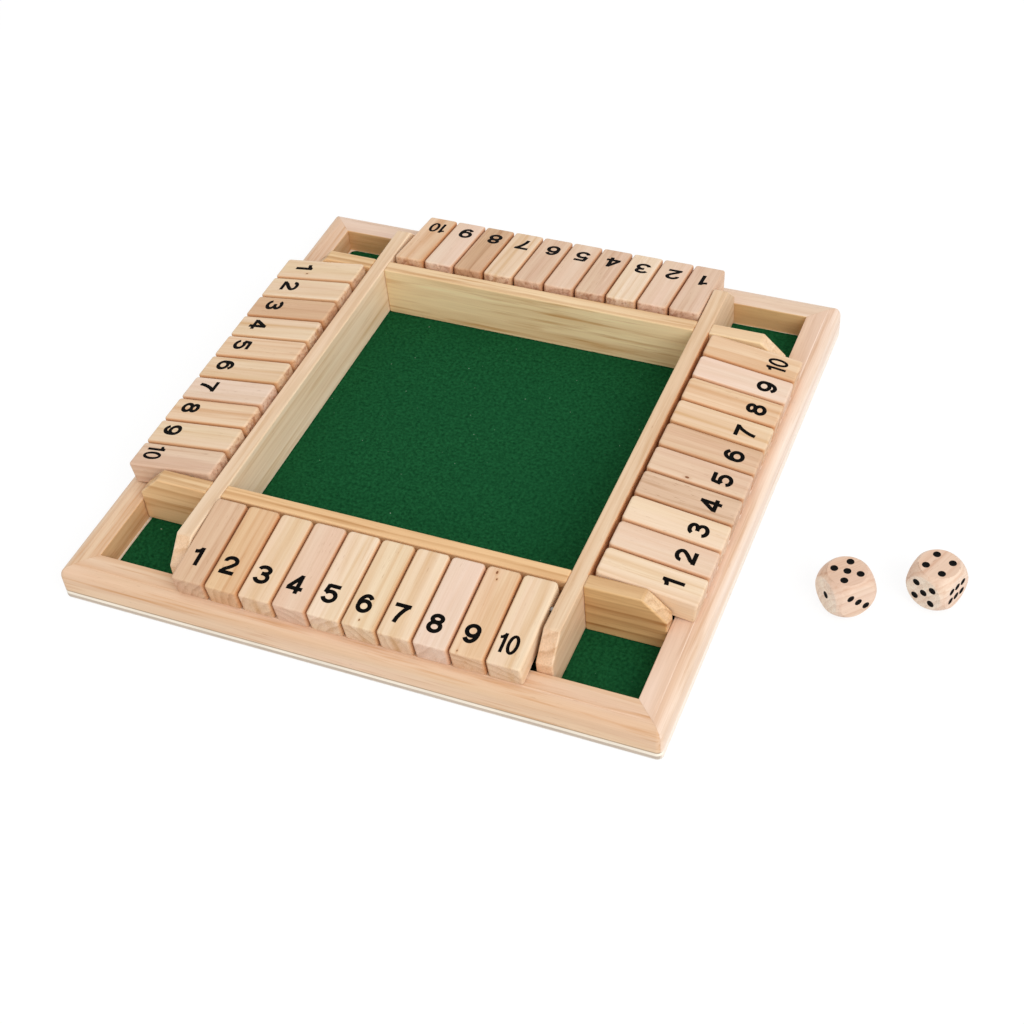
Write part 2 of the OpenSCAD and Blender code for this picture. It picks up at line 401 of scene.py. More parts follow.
# %% Plywood
def plywood():
    b = Bench("plywood")
    point = b.point()
    height = b.split(point)[2]
    grain = b.noise(b.stretch(point, 60, 700), 3)
    wavy = b.plus(height, b.times(b.noise(b.stretch(point, 40, 40), 1), 0.25 * MM))
    # The lowest ply comes first. Each row is the next layer up: where it begins, in mm, and its
    # colour. They are the middle ply, the top one, the dark joint and the pale upper face.
    colour = shade(236, 228, 218)
    for level, low, high, layer in ((wavy, 0.6, 1.0, (202, 186, 170)),
                                    (wavy, 2.3, 2.9, (253, 243, 226)),
                                    (wavy, 4.2, 4.7, (180, 152, 124)),
                                    (height, 4.93, 4.99, (244, 232, 212))):
        colour = b.blend(b.spread(level, low * MM, high * MM), colour, shade(*layer))
    # Painted light: the left and right edges are made pale all over, for strong light from the
    # right.
    colour = b.blend(b.sum("ABSOLUTE", b.written("end_grain")), colour, shade(250, 238, 224))
    shadow = b.spread(grain, 0.3, 0.7, 0.9, 1.04)
    colour = b.tinted(colour, shadow, shadow, shadow)
    return b.finish(colour, grain, 0.05 * MM, Roughness=0.6, Specular_IOR_Level=0.3)


plywood_edge = plywood()
print("plywood: 5 mm, three plies")


# %% Felt
def felt_cloth():
    b = Bench("felt_green")
    point = b.point()
    mottle = b.noise(b.stretch(point, 620, 620), 3, 0.6)
    fibre = b.noise(b.stretch(point, 2600, 2600), 2, 0.6)
    broad = b.noise(b.stretch(point, 30, 30), 2)
    amount = b.plus(b.times(mottle, 0.7), b.times(fibre, 0.3))
    colour = b.blend(b.spread(amount, 0.36, 0.64), shade(8, 60, 30), shade(30, 96, 55))
    colour = b.blend(b.spread(broad, 0.3, 0.7, 0.0, 0.25), colour, shade(16, 74, 42))
    lint = b.spread(b.noise(b.stretch(point, 700, 700), 1), 0.80, 0.83)
    colour = b.blend(b.times(lint, 0.6), colour, shade(170, 190, 172))
    return b.finish(colour, amount, 0.35 * MM, Roughness=0.95, Specular_IOR_Level=0.05)


felt_green = felt_cloth()
print("felt: dark green")


# %% Drawn steel
def steel(name, wire):
    """Steel with drawing lines. The wire says how fast the noise changes on each axis."""
    b = Bench(name)
    lines = b.noise(b.scaled(b.point(), wire), 3)
    colour = b.blend(lines, shade(120, 118, 116), shade(176, 174, 172))
    rough = b.spread(lines, 0.2, 0.8, 0.2, 0.36)
    return b.finish(colour, lines, 0.01 * MM, Roughness=rough, Metallic=1.0)


steel_x = steel("steel_along_x", (20, 4000, 4000))
steel_y = steel("steel_along_y", (4000, 20, 4000))
print("steel: bright drawn wire")


# %% Black paint
def paint(name, rough, bleed, gloss):
    """Black paint. Where it is thin, some of the brown below bleeds through."""
    b = Bench(name)
    worn = b.noise(b.stretch(b.point(), 900, 900), 3)
    colour = b.blend(b.spread(worn, 0.35, 0.75, 0.0, bleed), shade(3, 3, 3), shade(24, 18, 14))
    return b.finish(colour, worn, 0.02 * MM, Roughness=rough, Specular_IOR_Level=gloss)


ink = paint("number_ink", 0.7, 0.5, 0.05)
spot_paint = paint("spot_paint", 0.4, 0.3, 0.08)
print("paint: two blacks")

# %% [markdown]
# ## From a workpiece to a piece of the game
#
# Each wooden piece is shaped lying on the bench, with its grain along X, as a joiner would do it.
# Only then is it turned and carried to its place. Because the object itself must stay at the
# origin, the place goes into the mesh. The piece's place in the log is written down before it
# moves, so the grain comes along.
#
# Flat faces keep flat shading and the rounded edges between them are smooth. That keeps broad
# faces flat to the eye, which smooth shading all over would not. Rounded edges as long as a whole
# piece are cut across every so often, because a renderer bends the shading of a face between its
# corners, and over a very long face that bend turns into a dark stripe.

# %% Edges, cuts and the trip to the game
def sharp_edges(bm, angle=50):
    least = math.radians(angle)
    return [e for e in bm.edges if len(e.link_faces) == 2 and e.calc_face_angle(0) > least]


def upright_edges(bm, least):
    """The edges that rise by more than this."""
    return [e for e in bm.edges if abs(e.verts[0].co.z - e.verts[1].co.z) > least]


def all_of(bm):
    return bm.verts[:] + bm.edges[:] + bm.faces[:]


def of_kind(geom, kind):
    return [g for g in geom if isinstance(g, kind)]


def ease(bm, edges, width, segments=3):
    """Rounds edges over, as sandpaper does."""
    return bmesh.ops.bevel(bm, geom=edges, offset=width, offset_type="OFFSET", segments=segments,
                           profile=0.5, affect="EDGES", clamp_overlap=True, material=-1)


def saw(bm, point, normal):
    """Saws off what lies beyond a plane, if anything does, and closes the sawn face."""
    if max((v.co - Vector(point)).dot(Vector(normal)) for v in bm.verts) < 0.001 * MM:
        return
    made = bmesh.ops.bisect_plane(bm, geom=all_of(bm), plane_co=point, plane_no=normal,
                                  clear_outer=True)
    bmesh.ops.edgeloop_fill(bm, edges=of_kind(made["geom_cut"], bmesh.types.BMEdge))


def hold(bm, places):
    """Cuts rings round a long piece at places along X, so its soft ends don't shade it all."""
    for x in places:
        bmesh.ops.bisect_plane(bm, geom=all_of(bm), plane_co=(x, 0, 0), plane_no=(1, 0, 0))


def note(mesh, name, values, domain="POINT"):
    """Writes a value, or a vector, on every point or face of the mesh."""
    vectors = isinstance(values[0], (tuple, Vector))
    layer = mesh.attributes.new(name, "FLOAT_VECTOR" if vectors else "FLOAT", domain)
    if vectors:
        layer.data.foreach_set("vector", [c for vector in values for c in vector])
    else:
        layer.data.foreach_set("value", values)


def held(amount, scale, less):
    """An amount scaled up and lessened, held within 1 either way, with its own sign."""
    return math.copysign(min(1.0, max(0.0, abs(amount) * scale - less)), amount)


NO_KNOT = (9, 9, 0)
LIKE = 0.9999


def carry(bm, name, place, log, finishes, body, node=None, slot=None, flats=(), stripe=(0, 1, 0),
          knots=(), toast=0.0, untinted_side=0, reach=math.inf):
    """Ends a workpiece: its shading, its place in the log and in the game, and what it rides on.

    The normals in flats are of sloping sawn faces. A flank on the side that is passed as having no
    tint, and any that is further along than reach, gets no painted light of its own.
    """
    flats = [Vector(n).normalized() for n in flats]
    for f in bm.faces:
        straight = max(abs(c) for c in f.normal) > LIKE
        f.smooth = not straight and not any(f.normal.dot(n) > LIKE for n in flats)
    for e in bm.edges:
        e.smooth = len(e.link_faces) == 2 and e.calc_face_angle(0) < math.radians(35)
    mesh = bpy.data.meshes.new(name)
    bm.to_mesh(mesh)
    bm.free()

    log = Vector(log)
    count = len(mesh.vertices)
    note(mesh, "timber", [v.co + log for v in mesh.vertices])
    note(mesh, "end_grain", [1.0 if any(p.normal.dot(n) > LIKE for n in flats)
                             else held(p.normal.x, 3.6, 2.4) for p in mesh.polygons], "FACE")
    note(mesh, "facing", [0.0 if p.normal.y * untinted_side > 0 or abs(p.center.x) > reach
                          else held(p.normal.y, 1.5, 0.3) for p in mesh.polygons], "FACE")
    note(mesh, "toast", [toast] * count)
    note(mesh, "stripe", [(log.y + stripe[0], stripe[1], stripe[2])] * count)
    for knot, (x, y, size) in zip(("knot", "knot_2", "knot_3"), list(knots) + [NO_KNOT] * 3):
        note(mesh, knot, [(log.x + x * MM, log.y + y * MM, size * MM)] * count)

    for finish in finishes:
        mesh.materials.append(finish)
    mesh.transform(place)
    piece = bpy.data.objects.new(name, mesh)
    bpy.context.scene.collection.objects.link(piece)
    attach(piece, body)
    if node:
        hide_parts(node)
    return piece


def turn(degrees, axis="Z"):
    return Matrix.Rotation(math.radians(degrees), 4, axis)


def shift(x, y, z):
    return Matrix.Translation((x, y, z))


def block(low, high):
    """A cube scaled to the size between two corners, centred."""
    bm = bmesh.new()
    bmesh.ops.create_cube(bm, size=1)
    bmesh.ops.scale(bm, vec=high - low, verts=bm.verts)
    return bm


def between(low, high):
    """The shift from the origin to the middle of two corners."""
    return shift(*((low + high) / 2))


print("helpers: ease, saw, hold, carry")

# %% [markdown]
# ## The base board
#
# One square of 5 mm plywood with rounded corners. It starts as a cube scaled to size. Its four
# upright edges are rounded first and its long edges eased after, because a bevel of one width on
# all twelve edges would give either sharp corners or a soft, thick rim.

# %% Make the base board
BOARD_CORNER = 3 * MM
board = block(board_low, board_high)
ease(board, upright_edges(board, 1 * MM), BOARD_CORNER, 6)
ease(board, sharp_edges(board), 0.35 * MM, 2)
base = carry(board, "base_panel", between(board_low, board_high), (0, 0, 0), [plywood_edge],
             "board", "base_board", "ply")
print("base board:", len(base.data.polygons), "faces")

# %% [markdown]
# ## The felt lining
#
# One sheet of felt was glued to the whole base before the walls went in. Its edge was cut with
# shears, so it isn't quite straight: a slow wave moves the rim's points in by up to 0.4 mm. The
# top edge is soft.

# %% Make the felt
FELT_WAVE, NEAR_RIM = 0.25 * MM, 130 * MM
felt = block(felt_low, felt_high)
ease(felt, upright_edges(felt, 0.5 * MM), 3 * MM, 6)
long_edges = [e for e in felt.edges if e.calc_length() > 50 * MM]
bmesh.ops.subdivide_edges(felt, edges=long_edges, cuts=40, use_grid_fill=False)
for v in felt.verts:
    wave = abs(math.sin(90 * (v.co.x + v.co.y)) + 0.6 * math.sin(210 * (v.co.x - v.co.y) + 1))
    if abs(v.co.x) > NEAR_RIM:
        v.co.x -= math.copysign(FELT_WAVE * wave, v.co.x)
    if abs(v.co.y) > NEAR_RIM:
        v.co.y -= math.copysign(FELT_WAVE * wave, v.co.y)
ease(felt, [e for e in sharp_edges(felt) if min(v.co.z for v in e.verts) > 0], 0.4 * MM, 2)
lining = carry(felt, "felt_sheet", between(felt_low, felt_high), (0, 0, 0), [felt_green],
               "board", "felt_lining", "felt")
print("felt:", len(lining.data.polygons), "faces")

# %% [markdown]
# ## The frame
#
# Four mouldings go round the edge, mitred at the corners. A moulding has the same cross-section
# all along, so the section is drawn once as a flat face: a flat band on top, a small step, and a
# rounded outer edge. Its corners are rounded there, where it is easy, and the face is then pushed
# out to the full length. Two saw cuts make the mitres. The rounded edge runs on round the corner,
# as a router leaves it: a fan of cuts upright and tilted shapes the corner to the same rounding.

# %% Draw the section and push it out
MOULD_WIDE, MOULD_HIGH = BOARD_HALF - FRAME_OPEN, FRAME_TOP - board_high.z
BAND, STEP, ROUNDING = 9.2 * MM, 0.3 * MM, 5.6 * MM


def moulding(length):
    """A bar of the moulding, with its inner edge on the X axis and its outer edge towards -Y."""
    bm = bmesh.new()
    low_top = MOULD_HIGH - STEP
    corners = [(0, 0), (MOULD_WIDE, 0), (MOULD_WIDE, low_top), (BAND + STEP, low_top),
               (BAND, MOULD_HIGH), (0, MOULD_HIGH)]
    points = [bm.verts.new((-length / 2, -out, up)) for out, up in corners]
    bm.faces.new(points)
    for corner, size, segments in ((5, 0.5 * MM, 3), (4, 0.25 * MM, 2), (2, ROUNDING, 10)):
        bmesh.ops.bevel(bm, geom=[points[corner]], offset=size, offset_type="OFFSET",
                        segments=segments, profile=0.5, affect="VERTICES", material=-1)
    pushed = bmesh.ops.extrude_face_region(bm, geom=bm.faces[:1])
    moved = of_kind(pushed["geom"], bmesh.types.BMVert)
    bmesh.ops.translate(bm, vec=(length, 0, 0), verts=moved)
    bmesh.ops.recalc_face_normals(bm, faces=bm.faces)
    return bm


# %% Mitre, round the corners and place the four mouldings
FRAME_LOGS = [(0.31, 0.052, 0.031), (1.27, 0.034, 0.058),
              (2.23, -0.046, 0.036), (3.19, 0.061, 0.018)]
HAIR = 0.03 * MM
FAN = 9


def round_corner(bm, side):
    """Shapes one end's upright corner with a fan of cuts, each FAN degrees from the last."""
    middle = Vector((side * (BOARD_HALF - BOARD_CORNER), -BOARD_HALF + BOARD_CORNER,
                     MOULD_HIGH - STEP - ROUNDING))
    for angle in range(FAN, 46, FAN):
        out = Vector((side * math.sin(math.radians(angle)), -math.cos(math.radians(angle)), 0))
        saw(bm, middle + BOARD_CORNER * out, out)
        for k in range(10):
            tilt = math.radians(FAN * (k + 0.5))
            slant = math.cos(tilt) * out + math.sin(tilt) * Vector((0, 0, 1))
            touching = ROUNDING * math.cos(math.radians(FAN / 2)) * slant
            saw(bm, middle + (BOARD_CORNER - ROUNDING) * out + touching, slant)


for i, row in enumerate(ROWS):
    bm = moulding(2 * BOARD_HALF)
    bmesh.ops.translate(bm, vec=(0, -FRAME_OPEN, 0), verts=bm.verts)
    for side in (-1, 1):
        saw(bm, (side * (FRAME_OPEN - HAIR), -FRAME_OPEN, 0), (side, 1, 0))
        round_corner(bm, side)
    hold(bm, [x * MM for x in range(-145, 146, 10)])
    piece = carry(bm, f"moulding_{row}", turn(90 * i) @ shift(0, 0, board_high.z), FRAME_LOGS[i],
                  [FRAME_PINES[row]], "board", f"frame_{row}", "pine_frame",
                  flats=[(1, 1, 0), (-1, 1, 0)])
    print(piece.name, len(piece.data.polygons), "faces")

# %% [markdown]
# ## The walls round the tray
#
# Two long rails run from the front moulding to the back one. Two cross walls stand between them,
# and four short stubs carry the cross walls' line on to the side mouldings. All are planks 8 mm
# thick with sandpapered edges. The ends that meet the frame have a sloping cut, so that no sharp
# corner stands up. A plank is a scaled cube, sawn and then eased.

# %% Make a plank
SLOPE_RUN, SLOPE_DROP = 11.5 * MM, 11.3 * MM
WALL_THICK = WALL_HALF - TRAY_HALF
WALL_HIGH = WALL_TOP - FELT_TOP


def plank(length, sloped=()):
    """A wall on its edge, centred, with its grain along X. Its sloped ends are -1, 1 or both."""
    bm = block(Vector((0, 0, 0)), Vector((length, WALL_THICK, WALL_HIGH)))
    for side in sloped:
        saw(bm, (side * (length / 2 - SLOPE_RUN), 0, WALL_HIGH / 2),
            (side * SLOPE_DROP, 0, SLOPE_RUN))
    ease(bm, sharp_edges(bm, 30), 0.8 * MM, 3)
    near = length / 2 - 2 * MM
    hold(bm, [near * x / 12 for x in range(-12, 13)])
    return bm


SLOPES = [(SLOPE_DROP, 0, SLOPE_RUN), (-SLOPE_DROP, 0, SLOPE_RUN)]
print(f"walls {WALL_THICK / MM:.1f} mm thick and {WALL_HIGH / MM:.1f} mm high")

# %% Rails, cross walls and stubs
middle_z = (WALL_TOP + FELT_TOP) / 2
wall_end = rail_high.y
stub_long = wall_end - WALL_HALF
across = TRAY_HALF + WALL_THICK / 2


def wall(sawn, name, node, place, log, **more):
    """Carries a plank to its place. A wall with no pine of its own is of the common one."""
    pine_used = WALL_PINES.get(node, wall_pine)
    carry(sawn, name, place, log, [pine_used], "board", node, "pine_wall", **more)


# The right rail's flank tints, painted light and shade, are only on the part beside the tiles.
for name, side, log, reach in (("left", -1, (4.2, 0.021, 0.060), math.inf),
                               ("right", 1, (5.1, 0.033, 0.047), TRAY_HALF)):
    wall(plank(2 * wall_end, (-1, 1)), f"long_wall_{name}", f"rail_{name}",
         shift(side * across, 0, middle_z) @ turn(90), log, flats=SLOPES, reach=reach)
for name, side, log in (("front", -1, (6.3, 0.050, 0.012)), ("back", 1, (7.7, 0.064, 0.022))):
    wall(plank(2 * TRAY_HALF), f"cross_wall_{name}", f"cross_{name}",
         shift(0, side * across, middle_z), log)
for name, sx, sy, log in (("front_left", -1, -1, (8.1, 0.040, 0.02)),
                          ("front_right", 1, -1, (8.9, 0.028, 0.046)),
                          ("back_left", -1, 1, (9.6, 0.058, 0.03)),
                          ("back_right", 1, 1, (10.4, 0.02, 0.05))):
    wall(plank(stub_long, (sx,)), f"short_wall_{name}", f"stub_{name}",
         shift(sx * (WALL_HALF + stub_long / 2), sy * across, middle_z), log, flats=SLOPES)
print("walls: 2 long, 2 cross, 4 short")

# %% [markdown]
# ## The rods
#
# A rod is a plain 3 mm steel wire, and the measured model's round bar is already right. It
# keeps its shape and gets its metal.

# %% Give the rods their steel
for i, row in enumerate(ROWS):
    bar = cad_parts[f"rod_{row}"]
    bar.data.materials.clear()
    bar.data.materials.append(steel_x if i % 2 == 0 else steel_y)
print("rods: 4")

# %% [markdown]
# ## One tile
#
# A tile is a little pine block 48 mm long. Its upright corners are rounded, more at the inner end,
# which must clear the wall when the tile tips over. Then a light pass goes round the top edges,
# and a lighter one below. A scaled cube takes these three in that order. Last comes the hole for
# the rod: the side faces over the rod are laid again round a ring of points, and the two rings are
# bridged by the wall of the hole.

# %% Shape the block
def tile_block():
    """A tile with its grain along X: the outer end at -X, the rod's axis on the Y axis."""
    low = Vector((-TILE_OUT, 0, -ROD_TO_UNDER))
    high = low + Vector((TILE_LONG, TILE_WIDE, TILE_THICK))
    bm = block(low, high)
    bmesh.ops.transform(bm, matrix=between(low, high), verts=bm.verts)
    for width, inner in ((2.2 * MM, True), (1.5 * MM, False)):
        ease(bm, [e for e in upright_edges(bm, 9 * MM)
                  if (e.verts[0].co.x > 0) == inner and e.calc_face_angle(0) > 1], width, 6)
    for level, width, segments in ((high.z, 1.15 * MM, 4), (low.z, 0.6 * MM, 2)):
        rim = [e for e in sharp_edges(bm) if all(abs(v.co.z - level) < 0.01 * MM for v in e.verts)]
        ease(bm, rim, width, segments)
    hold(bm, [x * MM for x in (-34, -27, -18, -8, 8, 9.5)])
    return bm


# %% Drill the hole
def ring_of(bm, radius, segments, place):
    """The edges of a circle laid at a place."""
    made = bmesh.ops.create_circle(bm, radius=radius, segments=segments, matrix=place)
    return [e for e in bm.edges if e.verts[0] in made["verts"] and e.verts[1] in made["verts"]]


def drill(bm, radius=1.58 * MM):
    """The rod's hole, with a little room all round."""
    rings = []
    for side in (-1, 1):
        flat = max((f for f in bm.faces if f.normal.y * side > 0.999), key=lambda f: f.calc_area())
        rim = flat.edges[:]
        y = flat.calc_center_median().y
        bmesh.ops.delete(bm, geom=[flat], context="FACES_ONLY")
        place = shift(0, y, 0) @ turn(90, "X")
        ring = ring_of(bm, radius, 20, place)
        bmesh.ops.triangle_fill(bm, use_beauty=True, use_dissolve=False, edges=rim + ring)
        rings += ring
    bmesh.ops.bridge_loops(bm, edges=rings)
    bmesh.ops.recalc_face_normals(bm, faces=bm.faces)
    return bm


pattern = drill(tile_block())
print("one tile:", len(pattern.faces), "faces")

# %% [markdown]
# ## Forty tiles
#
# All forty tiles are copies of the one block, but no two look alike, because each was sawn from
# another place in the log. The table below gives each tile's tone. A broad stripe may follow: how
# far across it lies, its half width in mm and its strength. Last may come how brown or, below
# zero, how pale the tile is for its tone. The four rows are the same row turned by a quarter each.

# %% What each tile's wood is like
TILES = {
    "front": """pink//.6 tan//.9 cream/.52,1.6,.4/.4 pale//.4 cream/.7,2,.25/-.6
                cream/.6,1.8,.35 cream/.52,2.4,.5 pale/.6,2,.15/-.3 tan cream/.7,1.6,.3""",
    "right": """cream//-.2 pale//.4 cream//-.4 brown//-.6 pink
                tan//.6 cream/.37,1.2,.5/.5 tan/.6,2,.45 pale tan//-.3""",
    "back": """pink//-.3 pale//.5 cream//-.5 pink pale//.5
               pink cream/.55,1.2,.5 brown//.8 pale//.2 tan/.5,2,.3""",
    "left": """cream//.3 cream pink//1.2 cream/.42,1.6,.5 tan//-.6
               cream/.5,1.4,.45/.2 pale tan/.5,1.6,.4/-.4 cream pink//-.2""",
}
# One tan tile came out of pinker wood.
PINKER = {"right_6": "pink"}
# Knots: how far along and across from the rod's end of the tile's edge, and their size, in mm.
KNOTS = {"front_9": [(9, 11, 0.6), (5.5, 9.8, 0.4), (-34.2, 12.6, 0.32)],
         "front_6": [(-32, 8.6, 0.4)], "right_5": [(-7.5, 14.2, 0.7)], "left_1": [(-18, 4, 0.5)]}
# Tiles 1 and 10 have one flank in the light, not in a gap, so it gets none of the painted shade.
FLANK_IN_LIGHT = {1: 1, 10: -1}


def tile_place(i, k):
    """Where tile k of row i lies: its rod's axis, its slope, and the quarter turns of its row."""
    return (turn(90 * i) @ shift(TILE_START + (k - 1) * TILE_STEP, -ROD_OUT, ROD_UP)
            @ Matrix.Rotation(SLOPE, 4, "X") @ turn(90) @ shift(0, -TILE_WIDE, 0))


# %% Saw the tiles from the log and lay them in their rows
luck = random.Random(12)
for i, row in enumerate(ROWS):
    for k, wood in enumerate(TILES[row].split(), 1):
        which = f"{row}_{k}"
        tone, marks, toast = (wood + "//").split("/")[:3]
        at, half, strength = [float(m) for m in marks.split(",")] if marks else (0.5, 1, 0)
        angle, far = math.radians(luck.uniform(12, 75)), luck.uniform(22, 60) * MM
        aside = far * math.cos(angle) * luck.choice((-1, 1))
        log = (20 + 3 * i + 0.13 * k, aside, far * math.sin(angle))
        carry(pattern.copy(), f"flap_tile_{which}", tile_place(i, k), log,
              [TONES[PINKER.get(which, tone)]], f"flap_{which}", f"tile_{which}", f"tile_{tone}",
              stripe=((1 - at) * TILE_WIDE, half * MM, strength), knots=KNOTS.get(which, ()),
              toast=float(toast or 0), untinted_side=FLANK_IN_LIGHT.get(k, 0))
pattern.free()
print("tiles: 40, in", len(ROWS), "rows")

# %% [markdown]
# ## The numbers
#
# The numbers are painted through a stencil, in a bold plain style. They could be a font's, but
# the font that comes with Blender draws another kind of 1. A stencil number is really the path of
# a broad pen, so each is drawn here as the pen's path: straight points and parts of an
# oval. A curve with a round bevel follows the path, becomes a mesh, and is pressed flat until it is
# a film of paint. The film's lower half is inside the wood.

# %% Draw the pen's paths
def oval(x, y, rx, ry, start, stop):
    """Points on part of an oval, from one angle to another, in degrees."""
    steps = max(4, int(abs(stop - start) / 12))
    angles = [math.radians(start + (stop - start) * n / steps) for n in range(steps + 1)]
    return [(x + rx * math.cos(a), y + ry * math.sin(a)) for a in angles]


PEN, THIN_PEN = 2.08, 1.58
SIX = [oval(0, -1.42, 2.72, 2.6, 0, 360), oval(0.15, 0, 2.87, 4.02, 190, 38)]
PATHS = {
    "1": [[(1.2, 5), (1.2, -5)], [(-2.2, 2.5), (-1.0, 2.6), (0.2, 3.1), (1.1, 4.3)]],
    "2": [oval(0, 2.0, 2.77, 2.02, 190, -25)
          + [(1.6, 0.1), (0.1, -1.2), (-1.6, -2.4), (-2.75, -4.1)],
          [(-3.7, -4.02), (3.7, -4.02)]],
    "3": [oval(0, 2.25, 2.7, 1.77, 170, -90) + [(-0.9, 0.48)],
          oval(0, -1.75, 2.95, 2.27, 95, -170)],
    "4": [[(1.2, 4.2), (-3.1, -2.0)], [(-3.9, -2.3), (3.9, -2.3)], [(1.3, 5), (1.3, -5)]],
    "5": [[(-2.3, 4.02), (3.5, 4.02)], [(-2.0, 4.6), (-2.6, 0.2)],
          oval(0, -1.45, 2.87, 2.57, 148, -165)],
    "6": SIX,
    "7": [[(-3.8, 4.02), (3.8, 4.02)],
          [(2.9, 4.1), (1.2, 2.0), (0.1, -0.2), (-0.7, -2.5), (-1.1, -5)]],
    "8": [oval(0, 2.3, 2.35, 1.72, 0, 360), oval(0, -1.75, 2.65, 2.27, 0, 360)],
    "9": [[(-x, -y) for x, y in path] for path in SIX],
    "10": [[(-2.4, 4.9), (-2.4, -4.9)], [(-4.7, 2.5), (-3.7, 2.7), (-2.6, 3.9)],
           oval(2.05, 0, 1.95, 4.25, 0, 360)],
}
print("numbers drawn:", " ".join(PATHS))


# %% Turn a path into a film of paint
TALLER, FILM_THICK = 1.02, 0.08 * MM


def film(text):
    """A number as a film of paint, with X to the right and Y up. The 10 needs a thinner pen."""
    pen = (THIN_PEN if text == "10" else PEN) * MM
    curve = bpy.data.curves.new("pen", "CURVE")
    curve.dimensions = "3D"
    curve.bevel_depth, curve.bevel_resolution, curve.use_fill_caps = pen / 2, 2, True
    for path in PATHS[text]:
        closed = math.dist(path[0], path[-1]) < 0.01
        points = path[:-1] if closed else path
        line = curve.splines.new("POLY")
        line.points.add(len(points) - 1)
        line.use_cyclic_u = closed
        for point, (x, y) in zip(line.points, points):
            point.co = (x * MM, TALLER * y * MM, 0, 1)
    holder = bpy.data.objects.new("pen", curve)
    mesh = bpy.data.meshes.new_from_object(holder)
    bpy.data.objects.remove(holder)
    bpy.data.curves.remove(curve)
    bm = bmesh.new()
    bm.from_mesh(mesh)
    bpy.data.meshes.remove(mesh)
    bmesh.ops.remove_doubles(bm, verts=bm.verts, dist=0.001 * MM)
    bmesh.ops.scale(bm, vec=(1, 1, FILM_THICK / pen), verts=bm.verts)
    bmesh.ops.recalc_face_normals(bm, faces=bm.faces)
    return bm


# %% Paint the numbers
# Each row was stencilled in one go, and no row quite straight. For each row, in mm: how far aside
# its numbers are, how far out from the rod that of tile 1 is, and how much further each next one.
STENCIL = {"front": (-1.5, 21.6, 0.33), "right": (-0.5, 21.8, 0.33),
           "back": (-1.0, 21.3, 0.42), "left": (-1.4, 22.0, 0.48)}
PROUD = 0.005 * MM
for i, row in enumerate(ROWS):
    aside, first, more = STENCIL[row]
    for k in range(1, 11):
        along = -(first + more * (k - 1)) * MM
        # A tile's reader looks along X on the bench, so the number is turned to match.
        on_top = shift(along, TILE_WIDE / 2 - aside * MM, TILE_THICK - ROD_TO_UNDER + PROUD)
        carry(film(str(k)), f"number_{row}_{k}", tile_place(i, k) @ on_top @ turn(-90), (0, 0, 0),
              [ink], f"flap_{row}_{k}")
print("numbers: 40")

# %% [markdown]
# ## The dice
#
# The dice are beech cubes tumbled until their corners followed a ball. So a die starts as a
# ball, and six saw cuts leave the flat faces. The rim of each is softened. A spot is a shallow
# dish: the flat face is laid again round the spots' rings, and each ring is drawn in and down in
# three steps. Opposite faces add up to seven.

# %% Which spots each face has
DIE_WIDE, BALL_WIDE = 21 * MM, 27.6 * MM
SPOT_GAP, SPOT_WIDE, SPOT_DEEP = 4.22 * MM, 3.6 * MM, 0.6 * MM
PATTERNS = {
    1: [(0, 0)], 2: [(-1, 1), (1, -1)], 3: [(-1, 1), (0, 0), (1, -1)],
    4: [(-1, -1), (-1, 1), (1, -1), (1, 1)], 5: [(-1, -1), (-1, 1), (1, -1), (1, 1), (0, 0)],
    6: [(-1, -0.7), (0, -0.7), (1, -0.7), (-1, 0.7), (0, 0.7), (1, 0.7)],
}
FACES = {"top": (0, "X"), "under": (180, "X"), "front": (90, "X"), "back": (-90, "X"),
         "left": (-90, "Y"), "right": (90, "Y")}
# The three steps of a dish: how much narrower each gets, and its part of the depth.
DISH = ((0.93, 0.25), (0.72, 0.4), (0.45, 0.35))


# %% Make a die
def lay_spots(bm, place, spots):
    """Lays the face at a place again, round dishes for its spots."""
    out = place.to_3x3() @ Vector((0, 0, 1))
    flat = max((f for f in bm.faces if f.normal.dot(out) > 0.999), key=lambda f: f.calc_area())
    edges = flat.edges[:]
    bmesh.ops.delete(bm, geom=[flat], context="FACES_ONLY")
    spots = [(x * SPOT_GAP, y * SPOT_GAP, 0) for x, y in spots]
    rings = [ring_of(bm, SPOT_WIDE / 2, 24, place @ shift(*spot)) for spot in spots]
    edges += [e for ring in rings for e in ring]
    bmesh.ops.triangle_fill(bm, use_beauty=True, use_dissolve=False, edges=edges)
    for spot, ring in zip(spots, rings):
        centre = place @ Vector(spot)
        for size, deep in DISH:
            made = bmesh.ops.extrude_edge_only(bm, edges=ring)["geom"]
            verts = of_kind(made, bmesh.types.BMVert)
            for f in of_kind(made, bmesh.types.BMFace):
                f.material_index = 1
            for v in verts:
                v.co = centre + (v.co - centre) * size - out * SPOT_DEEP * deep
            centre = centre - out * SPOT_DEEP * deep
            ring = [e for e in of_kind(made, bmesh.types.BMEdge)
                    if e.verts[0] in verts and e.verts[1] in verts]
        bmesh.ops.edgeloop_fill(bm, edges=ring, mat_nr=1)


def die(spots):
    """A ball with six flats, each with its spots."""
    bm = bmesh.new()
    bmesh.ops.create_uvsphere(bm, u_segments=64, v_segments=40, radius=BALL_WIDE / 2)
    for angle, axis in FACES.values():
        out = turn(angle, axis) @ Vector((0, 0, 1))
        saw(bm, out * DIE_WIDE / 2, out)
    rims = [e for f in bm.faces if len(f.verts) > 12 for e in f.edges]
    ease(bm, rims, 0.45 * MM, 3)
    for name, (angle, axis) in FACES.items():
        lay_spots(bm, turn(angle, axis) @ shift(0, 0, DIE_WIDE / 2), PATTERNS[spots[name]])
    bmesh.ops.recalc_face_normals(bm, faces=bm.faces)
    return bm


